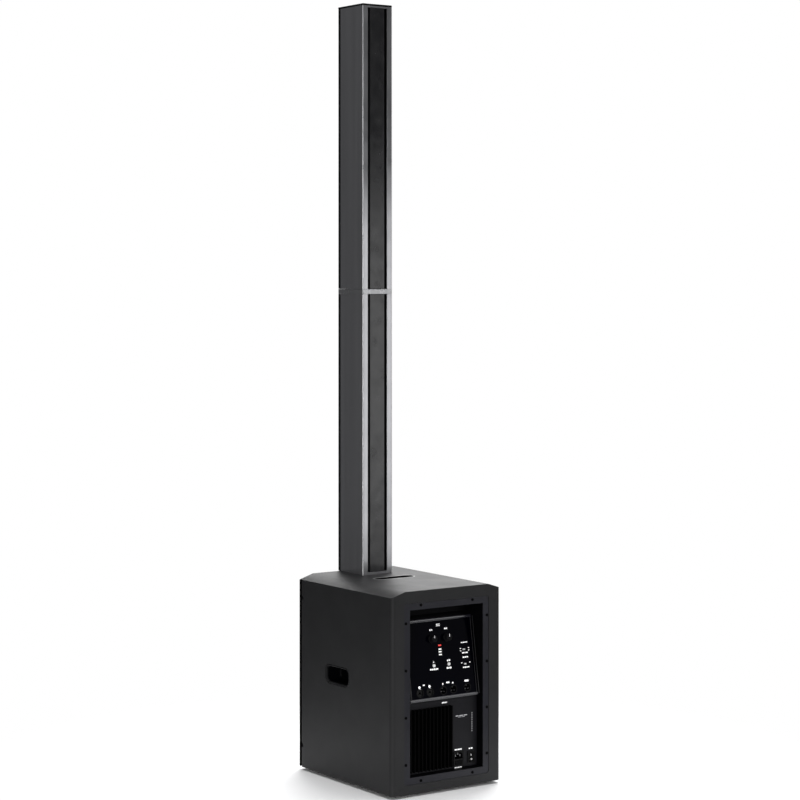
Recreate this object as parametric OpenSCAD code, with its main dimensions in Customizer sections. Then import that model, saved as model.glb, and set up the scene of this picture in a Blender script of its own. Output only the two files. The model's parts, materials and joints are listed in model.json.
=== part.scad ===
// Column loudspeaker: a subwoofer cabinet that carries a line array column in two sections.
// Origin: centre of the footprint on the floor. +Z is up and the drivers face -Y.

/* [Cabinet] */
// Width of the cabinet
cabinet_w = 336; // [325:1:350]
// Depth of the wooden box, without its grille
cabinet_d = 420; // [410:1:440]
// Height of the wooden box, without its feet
cabinet_h = 500; // [495:1:520]
// Thickness of the wooden walls
wall_t = 15; // [12:1:15]
// Drop of the sloping shoulders at the sides
shoulder_drop = 12.6; // [8:0.2:14]
// Width of the sloping shoulders
shoulder_w = 40; // [30:1:45]
// Radius of the upright rear edges
rear_edge_r = 12; // [4:0.5:13]
// Height of the rubber feet
foot_h = 8; // [6:1:12]
// How far the grille stands in front of the box
grille_proud = 5; // [4:0.5:7]

/* [Column] */
// Width of the column
column_w = 93; // [86:1:94]
// Depth of the column with its grille
column_d = 117; // [112:1:120]
// Height of the whole column above the cabinet
column_h = 1487; // [1470:1:1500]
// Depth of the folded grille on the front of the column
column_grille_d = 8; // [6:0.5:9]
// Height of the collar between the two sections
collar_h = 12.5; // [10:0.5:16]
// Width of the channel in the back of the column
channel_w = 60; // [54:1:62]
// Depth of that channel
channel_d = 14; // [10:1:16]
// Width of the back panel in the channel
back_panel_w = 45; // [40:1:50]
// Number of drivers in each section
drivers_per_section = 8; // [4:1:8]

/* [Woofer] */
// Height of the woofer's axis above the floor
woofer_z = 215; // [205:1:222]
// Radius of the woofer's frame
woofer_r = 129; // [124:1:130]
// Radius of each port tube, outside
port_r = 39; // [30:1:40]
// Length of each port tube
port_len = 128; // [80:1:132]

/* [Handles] */
// Length of a side handle's opening
side_handle_l = 110; // [100:1:112]
// Height of a side handle's opening
side_handle_h = 50; // [44:1:54]
// Depth of a side handle's pocket
side_handle_d = 48; // [40:1:50]
// Length of the top handle's opening
top_handle_l = 112; // [100:1:116]
// Width of the top handle's opening
top_handle_w = 30; // [26:1:32]
// Depth of the top handle's pocket
top_handle_d = 38; // [30:1:42]

/* [Rear recess] */
// Half the width of the tray's flange
flange_x = 130; // [127:0.5:131]
// Half the width of the recess at its mouth
mouth_x = 112.5; // [110:0.5:113]
// Depth of the amplifier plate in the recess
plate_depth = 20; // [18:0.5:24]
// Depth of the control panel's lower edge
panel_depth_low = 11.5; // [11:0.5:14]
// Depth of the control panel's upper edge
panel_depth_high = 43; // [38:0.5:44]

/* [Controls] */
// Radius of the level knobs
knob_r = 10.5; // [8:0.5:11.5]
// Height of the level knobs
knob_h = 15; // [10:1:18]
// Spacing of the level knobs
knob_pitch = 46; // [40:1:50]
// Tilt of the power rocker each way
rocker_tilt = 8; // [5:1:10]

/* [Hidden] */
$fn = 64;

// Overall frame
total_d = cabinet_d + grille_proud;
rear_y = total_d / 2;
front_y = -total_d / 2;
box_front_y = front_y + grille_proud;
half_w = cabinet_w / 2;
floor_z = foot_h;
top_z = floor_z + cabinet_h;
inner_x = half_w - wall_t;
inner_high_z = top_z - wall_t;
gap = 0.3;
body_gap = 0.1;

// Front of the cabinet
sheet_t = 1.5;
baffle_t = 18;
baffle_front_y = box_front_y + 17.5;
baffle_back_y = baffle_front_y + baffle_t;
baffle_hole_r = woofer_r - 11;
port_x = inner_x - port_r - 15;
port_z = woofer_z + woofer_r + port_r + 28;
screw_shank_r = 2.5;
screw_hole_r = screw_shank_r + 0.1;
screw_head_r = 4.5;
screw_head_h = 3;
grille_screw_y = box_front_y + 9.5;
grille_screw_z = [floor_z + 57, floor_z + 440];
dimple_r = 6;
dimple_d = 7;
foot_r = 19;
foot_x = half_w - 48;
foot_y = cabinet_d / 2 - 52;

// Handles
side_handle_y = -32;
side_handle_z = floor_z + 262;
side_handle_r = 18;
top_handle_y = -20;
handle_wall = 3;
bezel_w = 3.5;
bezel_h = 1.2;

// Column socket
column_rear_y = front_y + column_d;
spigot_w = 56;
spigot_d = 48;
spigot_len = 40;
spigot_y = baffle_back_y + 8 + spigot_d / 2;
socket_wall = 3;
socket_depth = spigot_len + 6;

// Woofer, measured from the front of the baffle towards the listener
magnet_r = 65;
pole_r = 23.5;
coil_inner_r = 24.4;
coil_r = 26;
cone_r = 100;
roll_r = 5.5;
frame_screw_r = woofer_r - 6;

// Rear tray
flange_t = 2.5;
flange_sunk = 1.2;
flange_face_y = rear_y - flange_sunk;
flange_low_z = floor_z + 22.5;
flange_high_z = floor_z + 469.5;
mouth_low_z = floor_z + 39.5;
mouth_high_z = floor_z + 453;
tray_t = 2.5;
tray_back_y = rear_y - 62.5;
draft = 6;
plate_face_y = rear_y - plate_depth;
plate_t = 3;
plate_low_z = mouth_low_z + 2.5;
plate_high_z = floor_z + 218;
plate_x = mouth_x - 5;
panel_low_z = floor_z + 220;
panel_high_z = floor_z + 422;
panel_low_y = rear_y - panel_depth_low;
panel_high_y = rear_y - panel_depth_high;
panel_tilt = atan2(panel_low_y - panel_high_y, panel_high_z - panel_low_z);
panel_len = (panel_high_z - panel_low_z) / cos(panel_tilt);
panel_t = 2;
panel_seat = panel_t / cos(panel_tilt) + 0.05;
panel_x = 104;
panel_border = 5;
bead_w = 8;
bead_proud = 1.5;
bead_step = 0.3;
bead_r = (pow(bead_w / 2, 2) + pow(bead_proud, 2)) / (2 * bead_proud);
bevel_h = 8.5;
back_wall_y = panel_high_y - 9;
cover_front_y = tray_back_y - 88;
cover_t = 1.5;
tray_screw_x = flange_x - 5;
tray_screw_side_z = [for (i = [0 : 3]) floor_z + 72.5 + i * 116.3];
tray_screw_end_x = 79.5;
tray_screw_end_z = [flange_low_z + 7, flange_high_z - 5.5];

// Controls on the panel: [across, up the slope], as seen from behind the cabinet
knob_s = 147;
button_spots = [[-23, 80.6], [23, 80.6]];
button_r = 4;
slider_spots = [[76, 112], [76, 76]];
slider_slot = [13, 5.5];
slider_travel = 4;
light_spots = [[0, 129], [0, 119.5], [0, 113], [0, 106]];
light_size = [9, 3.4];
connector_s = 17.5;
connector_r = 11;
connector_depth = 24;
combo_x = [-72.5, -42];
output_x = [-1, 30, 73];
latch_w = 5;

// Sockets on the amplifier plate: [across, height], as seen from behind the cabinet
inlet_spot = [49, floor_z + 65];
inlet_size = [31, 38];
rocker_spot = [88, floor_z + 64];
rocker_size = [22, 30];
trunnion_r = 1.5;
sink_x = [-plate_x + 4, 25];
sink_z = [floor_z + 47, floor_z + 202];
fin_count = 12;
fin_t = 3;
fin_h = 9;

// Column
shell_front_y = front_y + column_grille_d;
shell_t = 2.5;
rail_r = 2.5;
rail_lip_r = 1;
rail_screw_r = 3;
channel_floor_y = column_rear_y - channel_d;
back_panel_sunk = 1.5;
back_panel_t = 2;
foot_bar_h = 6.5;
top_bar_h = 4.5;
section_h = column_h / 2;
lower_base_z = top_z + gap;
collar_top_z = top_z + section_h;
collar_low_z = collar_top_z - collar_h;
upper_base_z = collar_top_z + gap;
cap_h = 5;
column_top_z = top_z + column_h;
shell_top_z = column_top_z - cap_h;
end_plate_t = 6;
driver_plate = [82, 78, 3];
driver_r = 30;
driver_y = shell_front_y + shell_t;
driver_margin = 54;

// ---------- shared shapes ----------

module rounded_rect(w, h, r) {
    square([w - 2 * r, h], center = true);
    square([w, h - 2 * r], center = true);
    for (x = [-1, 1], y = [-1, 1])
        translate([x * (w / 2 - r), y * (h / 2 - r)])
            circle(r);
}

module rounded_block(w, h, t, r) {
    linear_extrude(t)
        rounded_rect(w, h, r);
}

// Places children that are drawn as seen from in front: up is +Y, the listener is at +Z
module on_front(y, z) {
    translate([0, y, z])
        rotate([90, 0, 0])
            children();
}

// Places children that are drawn as seen from behind: right is +X, up is +Y, out is +Z
module on_rear(y) {
    translate([0, y, 0])
        rotate([90, 0, 180])
            children();
}

// The same on the tilted control panel, from the middle of its lower border
module on_panel() {
    translate([0, panel_low_y, panel_low_z])
        rotate([panel_tilt, 0, 0])
            rotate([90, 0, 180])
                translate([0, panel_border, 0])
                    children();
}

// Cross-section of the cabinet, shrunk by an inset
module cabinet_outline(inset = 0) {
    x = half_w - inset;
    flat_x = half_w - shoulder_w - inset * 0.2;
    polygon([
        [-x, floor_z + inset], [x, floor_z + inset],
        [x, top_z - shoulder_drop - inset * 0.8], [flat_x, top_z - inset],
        [-flat_x, top_z - inset], [-x, top_z - shoulder_drop - inset * 0.8]
    ]);
}

module outline_slab(y_low, y_high, inset) {
    translate([0, y_high, 0])
        rotate([90, 0, 0])
            linear_extrude(y_high - y_low)
                cabinet_outline(inset);
}

module box_between(low, high) {
    translate(low)
        cube(high - low);
}

module button_screw(length) {
    cylinder(h = screw_head_h, r = screw_head_r);
    translate([0, 0, -length])
        cylinder(h = length + 0.5, r = screw_shank_r);
}

// ---------- cabinet ----------

module cabinet_shell() {
    color([0.17, 0.17, 0.18])
    difference() {
        intersection() {
            outline_slab(box_front_y, rear_y, 0);
            translate([0, (box_front_y + rear_y) / 2, 0])
                rounded_block(cabinet_w, cabinet_d, top_z, rear_edge_r);
        }
        outline_slab(box_front_y - 1, rear_y - wall_t, wall_t);
        tray_opening();
        for (side = [-1, 1]) {
            side_handle_cut(side);
            for (z = grille_screw_z)
                grille_screw_hole(side, z);
        }
        translate([0, top_handle_y, inner_high_z - 1])
            rounded_block(top_handle_l + 2 * handle_wall, top_handle_w + 2 * handle_wall,
                wall_t + 2, top_handle_w / 2 + handle_wall - 0.1);
        translate([0, spigot_y, inner_high_z - 1])
            rounded_block(spigot_w + 2 * socket_wall + 1, spigot_d + 2 * socket_wall + 1, wall_t + 2, 6);
        foot_screw_holes();
    }
}

module tray_opening() {
    half_h = (flange_high_z - flange_low_z) / 2;
    on_rear(rear_y)
        translate([0, (flange_high_z + flange_low_z) / 2, 0]) {
            translate([0, 0, -flange_t - flange_sunk])
                rounded_block(2 * flange_x + 1, 2 * half_h + 1, 20, 8);
            translate([0, (mouth_high_z + mouth_low_z - flange_high_z - flange_low_z) / 2, -wall_t - 1])
                rounded_block(2 * (mouth_x + tray_t) + 1,
                    mouth_high_z - mouth_low_z + 2 * tray_t + 1, 40, 0.6);
        }
    for (spot = tray_screw_spots())
        on_rear(rear_y)
            translate([spot[0], spot[1], -wall_t + 1])
                cylinder(h = wall_t, r = 2, $fn = 24);
}

module side_handle_cut(side) {
    translate([side * half_w, side_handle_y, side_handle_z])
        rotate([0, side * 90, 0])
            rotate([0, 0, 90])
                translate([0, 0, -wall_t - 1])
                    rounded_block(side_handle_l, side_handle_h, wall_t + 2, side_handle_r);
}

module grille_screw_hole(side, z) {
    translate([side * half_w, grille_screw_y, z])
        rotate([0, side * 90, 0]) {
            translate([0, 0, -dimple_d])
                cylinder(h = dimple_d + 1, r = dimple_r);
            translate([0, 0, -wall_t - 1])
                cylinder(h = wall_t + 2, r = screw_hole_r, $fn = 24);
        }
}

module foot_screw_holes() {
    for (x = [-1, 1], y = [-1, 1])
        translate([x * foot_x, y * foot_y, floor_z - 1])
            cylinder(h = wall_t + 2, r = screw_hole_r, $fn = 24);
}

module front_baffle() {
    color([0.09, 0.09, 0.09])
    difference() {
        outline_slab(baffle_front_y, baffle_back_y, wall_t + body_gap);
        on_front(baffle_back_y + 1, woofer_z)
            cylinder(h = baffle_t + 2, r = baffle_hole_r);
        for (side = [-1, 1])
            on_front(baffle_back_y + 1, port_z)
                translate([side * port_x, 0, 0])
                    cylinder(h = baffle_t + 2, r = port_r + body_gap);
        for (angle = woofer_screw_angles())
            on_front(baffle_back_y + 1, woofer_z)
                rotate(angle)
                    translate([frame_screw_r, 0, 0])
                        cylinder(h = baffle_t + 2, r = screw_hole_r, $fn = 24);
    }
}

module cabinet_brace() {
    brace_y = 32;
    color([0.75, 0.6, 0.4])
    difference() {
        outline_slab(brace_y, brace_y + wall_t, wall_t + body_gap);
        on_rear(brace_y - 1)
            translate([0, floor_z + cabinet_h / 2, 0])
                rounded_block(2 * inner_x - 80, cabinet_h - 130, wall_t + 2, 20);
    }
}

module port_tubes() {
    color([0.06, 0.06, 0.06])
    for (side = [-1, 1])
        on_front(baffle_front_y, port_z)
            translate([side * port_x, 0, 0])
                rotate_extrude()
                    polygon([
                        [port_r - 3, -port_len], [port_r, -port_len], [port_r, 0], [port_r + 7, 0],
                        [port_r + 7, 2], [port_r + 1, 3], [port_r - 3, -2]
                    ]);
}

module front_grille() {
    tab_w = 22;
    color([0.05, 0.05, 0.05]) {
        difference() {
            outline_slab(front_y, box_front_y - body_gap, 1);
            outline_slab(front_y + sheet_t, box_front_y + 1, 1 + sheet_t);
        }
        for (side = [-1, 1], z = grille_screw_z)
            difference() {
                box_between([side * (inner_x - 1.3) - sheet_t / 2, front_y + sheet_t - 0.2, z - tab_w / 2],
                    [side * (inner_x - 1.3) + sheet_t / 2, baffle_front_y - 1, z + tab_w / 2]);
                translate([side * inner_x, grille_screw_y, z])
                    rotate([0, 90, 0])
                        cylinder(h = 10, r = screw_hole_r, center = true, $fn = 24);
            }
    }
}

// Screws of one size: four for the grille, eight for the woofer and four for the feet
module cabinet_screws() {
    color([0.12, 0.12, 0.12]) {
        for (side = [-1, 1], z = grille_screw_z)
            translate([side * (half_w - dimple_d + body_gap), grille_screw_y, z])
                rotate([0, side * 90, 0])
                    button_screw(12);
        for (angle = woofer_screw_angles())
            on_front(baffle_front_y, woofer_z)
                rotate(angle)
                    translate([frame_screw_r, 0, 5 + body_gap])
                        button_screw(20);
        for (x = [-1, 1], y = [-1, 1])
            translate([x * foot_x, y * foot_y, floor_z - 4])
                rotate([180, 0, 0])
                    button_screw(16);
    }
}

// ---------- handles, feet and column socket ----------

module side_handles() {
    color([0.05, 0.05, 0.05])
    for (side = [-1, 1])
        translate([side * half_w, side_handle_y, side_handle_z])
            rotate([0, side * 90, 0])
                rotate([0, 0, 90])
                    difference() {
                        translate([0, 0, -side_handle_d])
                            rounded_block(side_handle_l - 0.4, side_handle_h - 0.4, side_handle_d - 0.5,
                                side_handle_r - 0.2);
                        translate([0, 0, -side_handle_d + handle_wall])
                            rounded_block(side_handle_l - 2 * handle_wall, side_handle_h - 2 * handle_wall,
                                side_handle_d, side_handle_r - handle_wall);
                    }
}

module top_handle() {
    outer = [top_handle_l + 2 * handle_wall - 0.4, top_handle_w + 2 * handle_wall - 0.4];
    color([0.05, 0.05, 0.05])
    translate([0, top_handle_y, top_z])
        difference() {
            union() {
                translate([0, 0, -top_handle_d - handle_wall])
                    rounded_block(outer[0], outer[1], top_handle_d + handle_wall, outer[1] / 2 - 0.1);
                rounded_block(outer[0] + 2 * bezel_w, outer[1] + 2 * bezel_w, bezel_h,
                    outer[1] / 2 + bezel_w - 0.1);
            }
            translate([0, 0, -top_handle_d])
                rounded_block(top_handle_l, top_handle_w, top_handle_d + 5, top_handle_w / 2 - 0.1);
        }
}

module rubber_feet() {
    color([0.04, 0.04, 0.04])
    for (x = [-1, 1], y = [-1, 1])
        translate([x * foot_x, y * foot_y, 0])
            difference() {
                rotate_extrude()
                    polygon([[0, 0], [foot_r - 3, 0], [foot_r, floor_z], [0, floor_z]]);
                translate([0, 0, -1])
                    cylinder(h = floor_z - 3, r = screw_head_r + 1.5);
                cylinder(h = floor_z + 2, r = screw_hole_r, $fn = 24);
            }
}

// Cup that the foot of a column section plugs into, with its mouth at height z
module plug_cup(z) {
    translate([0, spigot_y, z - socket_depth])
        difference() {
            rounded_block(spigot_w + 2 * socket_wall, spigot_d + 2 * socket_wall, socket_depth, 6);
            translate([0, 0, socket_wall])
                rounded_block(spigot_w + 1, spigot_d + 1, socket_depth, 3.5);
        }
}

module column_socket() {
    color([0.06, 0.06, 0.06])
        plug_cup(top_z);
}

// ---------- woofer ----------

module at_woofer() {
    on_front(baffle_front_y, woofer_z)
        children();
}

function woofer_screw_angles() = [for (i = [0 : 7]) 22.5 + 45 * i];

module woofer_frame() {
    lip = woofer_r - 17;
    color([0.1, 0.1, 0.1])
    at_woofer()
        difference() {
            rotate_extrude()
                polygon([
                    [woofer_r, 0], [woofer_r, 5], [lip, 5], [lip, 0], [60, -60], [30, -60],
                    [30, -64], [64, -64], [baffle_hole_r - 2, -2], [baffle_hole_r - 2, 0]
                ]);
            for (i = [0 : 5])
                rotate(60 * i)
                    translate([70, -22, -52])
                        cube([60, 44, 38]);
            for (angle = woofer_screw_angles())
                rotate(angle)
                    translate([frame_screw_r, 0, -1])
                        cylinder(h = 10, r = screw_hole_r, $fn = 24);
        }
}

module woofer_magnet() {
    color([0.2, 0.2, 0.2])
    at_woofer()
        rotate_extrude()
            polygon([
                [0, -96], [60, -96], [60, -88], [magnet_r, -88], [magnet_r, -70], [52, -70], [52, -64],
                [coil_r + 1.5, -64], [coil_r + 1.5, -70], [40, -70], [40, -88], [pole_r, -88],
                [pole_r, -64], [0, -64]
            ]);
}

module woofer_cone() {
    color([0.08, 0.08, 0.08])
    at_woofer()
        rotate_extrude()
            polygon([[coil_r + 0.1, -46], [cone_r, -2], [cone_r, -0.8], [coil_r + 0.1, -44.6]]);
}

module woofer_dust_cap() {
    chord = 34;
    rise = 12;
    curve_r = (chord * chord + rise * rise) / (2 * rise);
    color([0.06, 0.06, 0.06])
    at_woofer()
        rotate_extrude()
            intersection() {
                translate([0, -28 - curve_r])
                    difference() {
                        circle(curve_r, $fn = 128);
                        circle(curve_r - 1, $fn = 128);
                    }
                translate([0, -39])
                    square([chord, 20]);
            }
}

module woofer_voice_coil() {
    color([0.7, 0.4, 0.2])
    at_woofer()
        translate([0, 0, -80])
            difference() {
                cylinder(h = 36, r = coil_r);
                translate([0, 0, -1])
                    cylinder(h = 38, r = coil_inner_r);
            }
}

module half_roll(centre_r, r, thickness) {
    rotate_extrude()
        intersection() {
            translate([centre_r, 0])
                difference() {
                    circle(r);
                    circle(r - thickness);
                }
            translate([centre_r - r, 0])
                square([2 * r, r]);
        }
}

module woofer_surround() {
    color([0.04, 0.04, 0.04])
    at_woofer()
        half_roll(cone_r + roll_r + 0.5, roll_r, 0.9);
}

module woofer_spider() {
    color([0.8, 0.65, 0.3])
    at_woofer()
        translate([0, 0, -48.5])
            difference() {
                cylinder(h = 1.2, r = 69.5);
                translate([0, 0, -1])
                    cylinder(h = 4, r = coil_r + 0.5);
            }
}

// ---------- rear tray ----------

function tray_screw_spots() = concat(
    [for (side = [-1, 1], z = tray_screw_side_z) [side * tray_screw_x, z]],
    [for (side = [-1, 1], z = tray_screw_end_z) [side * tray_screw_end_x, z]]
);

// Side profile of the recess, pushed into the cabinet by the given amount
module recess_profile(push) {
    polygon([
        [rear_y + 1, mouth_low_z - push], [plate_face_y - plate_t - push, mouth_low_z + 2 - push],
        [plate_face_y - plate_t - push, plate_high_z + push * 0.3],
        [plate_face_y - push, plate_high_z + push * 0.3],
        [panel_low_y - panel_seat - push, panel_low_z], [panel_high_y - panel_seat - push, panel_high_z],
        [back_wall_y - push, panel_high_z + bevel_h + push * 0.4],
        [back_wall_y - push, mouth_high_z - 3 + push], [rear_y + 1, mouth_high_z + push]
    ]);
}

// The recess as a solid: its side profile, narrowed by the draft of the side walls
module recess_solid(push) {
    x = mouth_x + push;
    intersection() {
        translate([-150, 0, 0])
            rotate([90, 0, 90])
                linear_extrude(300)
                    recess_profile(push);
        linear_extrude(600)
            polygon([
                [-x, rear_y + 1], [x, rear_y + 1], [x - draft, rear_y - 60], [-x + draft, rear_y - 60]
            ]);
    }
}

module rear_tray() {
    half_h = (flange_high_z - flange_low_z) / 2;
    mid_z = (flange_high_z + flange_low_z) / 2;
    color([0.13, 0.13, 0.14])
    difference() {
        union() {
            on_rear(flange_face_y)
                translate([0, mid_z, -flange_t])
                    rounded_block(2 * flange_x, 2 * half_h, flange_t, 7.5);
            tray_skirt();
            intersection() {
                recess_solid(tray_t);
                box_between([-200, 0, 0], [200, flange_face_y, 600]);
            }
        }
        recess_solid(0);
        plate_window();
        panel_window();
        on_rear(flange_face_y)
            for (spot = tray_screw_spots())
                translate([spot[0], spot[1], -flange_t - 1])
                    cylinder(h = 10, r = 2, $fn = 24);
    }
}

module tray_skirt() {
    difference() {
        box_between([-mouth_x - tray_t, tray_back_y, mouth_low_z - tray_t],
            [mouth_x + tray_t, flange_face_y - 1, mouth_high_z + tray_t]);
        box_between([-mouth_x, tray_back_y - 1, mouth_low_z], [mouth_x, flange_face_y, mouth_high_z]);
    }
}

// Opening behind the amplifier plate
module plate_window() {
    box_between([-plate_x + 8, plate_face_y - 20, plate_low_z + 5],
        [plate_x - 8, plate_face_y - 1, plate_high_z - 8]);
}

// Opening behind the control panel
module panel_window() {
    on_panel()
        translate([-panel_x + 6, 4 - panel_border, -14])
            cube([2 * panel_x - 12, panel_len - 9, 14]);
}

module tray_screws() {
    color([0.08, 0.08, 0.08])
    on_rear(flange_face_y)
        for (spot = tray_screw_spots())
            translate([spot[0], spot[1], 0])
                difference() {
                    union() {
                        cylinder(h = flange_sunk - 0.05, r = 3.6);
                        translate([0, 0, -12])
                            cylinder(h = 12.1, r = 2, $fn = 24);
                    }
                    translate([0, 0, 0.3])
                        cylinder(h = 2, r = 1.5, $fn = 6);
                }
}

module amp_cover() {
    x = mouth_x + tray_t;
    low = mouth_low_z - tray_t;
    high = mouth_high_z + tray_t;
    color([0.6, 0.6, 0.62])
    difference() {
        box_between([-x, cover_front_y, low], [x, tray_back_y - body_gap, high]);
        box_between([-x + cover_t, cover_front_y + cover_t, low + cover_t],
            [x - cover_t, tray_back_y + 1, high - cover_t]);
    }
}

module control_panel() {
    color([0.03, 0.03, 0.04])
    on_panel() {
        panel_bead(bead_w / 2 + 1 - panel_border);
        panel_bead(panel_len - panel_border - bead_w / 2 - 1);
        difference() {
            translate([0, panel_len / 2 - panel_border, -panel_t])
                rounded_block(2 * panel_x, panel_len - 2, panel_t, 3);
            for (side = [-1, 1])
                panel_hole(side * knob_pitch / 2, knob_s, 3.8);
            for (spot = button_spots)
                panel_hole(spot[0], spot[1], button_r + gap);
            for (x = concat(combo_x, output_x))
                panel_hole(x, connector_s, connector_r + body_gap);
            for (spot = slider_spots)
                panel_slot(spot, slider_slot);
            for (spot = light_spots)
                panel_slot(spot, light_size + [0.2, 0.2]);
        }
    }
}

// Rolled border across the panel
module panel_bead(s) {
    length = 2 * panel_x - 1;
    translate([-length / 2, s, 0])
        rotate([90, 0, 90])
            linear_extrude(length)
                intersection() {
                    translate([0, bead_proud - bead_r])
                        circle(bead_r);
                    translate([-bead_w / 2 + bead_step, -panel_t / 2])
                        square([bead_w - 2 * bead_step, panel_t / 2 + bead_proud + 1]);
                }
}

module panel_hole(x, s, r) {
    translate([x, s, -panel_t - 1])
        cylinder(h = panel_t + 2, r = r);
}

module panel_slot(spot, size) {
    translate([spot[0] - size[0] / 2, spot[1] - size[1] / 2, -panel_t - 1])
        cube([size[0], size[1], panel_t + 2]);
}

module amp_plate() {
    color([0.15, 0.15, 0.16])
    difference() {
        box_between([-plate_x + 0.3, plate_face_y - plate_t + 0.05, plate_low_z],
            [plate_x - 0.3, plate_face_y, plate_high_z - 0.5]);
        on_rear(plate_face_y) {
            plate_cut(inlet_spot, inlet_size - [3, 3]);
            plate_cut(rocker_spot, rocker_size - [3, 3]);
            translate([sink_x[0] + 6, sink_z[0] + 6, -10])
                cube([sink_x[1] - sink_x[0] - 12, sink_z[1] - sink_z[0] - 12, 20]);
        }
    }
}

module plate_cut(spot, size) {
    translate([spot[0], spot[1], -10])
        linear_extrude(20)
            square(size, center = true);
}

module heat_sink() {
    width = sink_x[1] - sink_x[0];
    height = sink_z[1] - sink_z[0];
    pitch = (width - fin_t) / (fin_count - 1);
    color([0.04, 0.04, 0.04])
    on_rear(plate_face_y)
        translate([sink_x[0], sink_z[0], 0]) {
            translate([0, 0, body_gap])
                cube([width, height, 2]);
            translate([7, 7, -12])
                cube([width - 14, height - 14, 12.2]);
            for (i = [0 : fin_count - 1])
                translate([i * pitch, 0, 1])
                    cube([fin_t, height, fin_h]);
        }
}

// ---------- controls ----------

module level_knob(x) {
    color([0.1, 0.1, 0.1])
    on_panel()
        translate([x, knob_s, 0]) {
            difference() {
                rotate_extrude()
                    polygon([
                        [0, 0.8], [knob_r, 0.8], [knob_r, 3], [knob_r - 1.5, knob_h - 1],
                        [knob_r - 2.5, knob_h], [0, knob_h]
                    ]);
                translate([-0.5, 2, knob_h - 0.6])
                    cube([1, knob_r, 2]);
            }
            translate([0, 0, -10])
                cylinder(h = 11, r = 3);
        }
}

module level_knob_left() {
    level_knob(-knob_pitch / 2);
}

module level_knob_right() {
    level_knob(knob_pitch / 2);
}

module pots() {
    color([0.5, 0.5, 0.52])
    on_panel()
        for (side = [-1, 1])
            translate([side * knob_pitch / 2, knob_s, 0])
                difference() {
                    union() {
                        translate([-8, -8, -14.5])
                            cube([16, 16, 8]);
                        translate([0, 0, -7])
                            cylinder(h = 4.5, r = 4.5);
                    }
                    translate([0, 0, -10.5])
                        cylinder(h = 12, r = 3.06);
                }
}

module push_button(spot) {
    color([0.85, 0.85, 0.85])
    on_panel()
        translate([spot[0], spot[1], -7])
            rotate_extrude()
                polygon([[0, 0], [button_r, 0], [button_r, 9], [button_r - 0.6, 9.6], [0, 9.6]]);
}

module push_button_left() {
    push_button(button_spots[0]);
}

module push_button_right() {
    push_button(button_spots[1]);
}

// The slider rests at the left end of its slot
module slide_switch(spot) {
    color([0.8, 0.8, 0.8])
    on_panel()
        translate([spot[0] - slider_travel / 2, spot[1], 0]) {
            translate([-2.2, -1.8, -6])
                cube([4.4, 3.6, 8.2]);
        }
}

module slide_switch_upper() {
    slide_switch(slider_spots[0]);
}

module slide_switch_lower() {
    slide_switch(slider_spots[1]);
}

module switch_housings() {
    color([0.12, 0.12, 0.12])
    on_panel() {
        for (spot = button_spots)
            translate([spot[0], spot[1], -14.5])
                difference() {
                    translate([-6, -6, 0])
                        cube([12, 12, 11.5]);
                    translate([0, 0, 5])
                        cylinder(h = 10, r = button_r + gap);
                }
        for (spot = slider_spots)
            translate([spot[0], spot[1], -14.5])
                difference() {
                    translate([-8.5, -4.5, 0])
                        cube([17, 9, 11.5]);
                    translate([-5, -2.2, 8])
                        cube([10, 4.4, 10]);
                }
    }
}

module meter_lights() {
    color([0.9, 0.2, 0.1])
    on_panel()
        for (spot = light_spots)
            translate([spot[0] - light_size[0] / 2, spot[1] - light_size[1] / 2, -8])
                cube([light_size[0], light_size[1], 8.6]);
}

module at_connector(x) {
    on_panel()
        translate([x, connector_s, 0])
            children();
}

// Combination sockets: a ring for a round plug about a core with a jack hole
module combo_sockets() {
    color([0.09, 0.09, 0.09])
    for (x = combo_x)
        at_connector(x)
            difference() {
                translate([0, 0, -connector_depth])
                    rotate_extrude()
                        polygon([
                            [0, 0], [connector_r, 0], [connector_r, connector_depth + 1.2],
                            [9.6, connector_depth + 1.2], [9.6, connector_depth - 11],
                            [8.1, connector_depth - 11], [8.1, connector_depth - 1], [0, connector_depth - 1]
                        ]);
                translate([0, 0, -connector_depth + 2])
                    cylinder(h = connector_depth + 4, r = 3.3);
                for (angle = [90, 210, 330])
                    rotate(angle)
                        translate([5.7, 0, -11])
                            cylinder(h = 20, r = 1.3, $fn = 24);
                translate([-latch_w / 2 - gap, 8.8, -9])
                    cube([latch_w + 2 * gap, 4, 20]);
            }
}

module latch(x) {
    color([0.7, 0.7, 0.72])
    at_connector(x)
        translate([-latch_w / 2, 9.15, -6])
            cube([latch_w, 1.2, 8.6]);
}

module latch_left() {
    latch(combo_x[0]);
}

module latch_right() {
    latch(combo_x[1]);
}

// Output sockets: plain cups, each around three pins
module output_sockets() {
    color([0.09, 0.09, 0.09])
    for (x = output_x)
        at_connector(x)
            translate([0, 0, -connector_depth])
                difference() {
                    cylinder(h = connector_depth + 1.2, r = connector_r);
                    translate([0, 0, connector_depth - 14])
                        cylinder(h = 20, r = 9.3);
                }
}

module socket_pins() {
    color([0.85, 0.85, 0.85]) {
        for (x = output_x)
            at_connector(x)
                for (angle = [90, 210, 330])
                    rotate(angle)
                        translate([5.2, 0, -14 + 0.05])
                            rotate_extrude($fn = 24)
                                polygon([[0, 0], [1.25, 0], [1.25, 10.5], [0.7, 11.5], [0, 11.5]]);
        on_rear(plate_face_y)
            for (spot = [[-7, 7], [7, 7], [0, 11]])
                translate([inlet_spot[0] + spot[0] - 1, inlet_spot[1] + spot[1] - 2.5, -15 + 0.05])
                    cube([2, 5, 13]);
    }
}

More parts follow.
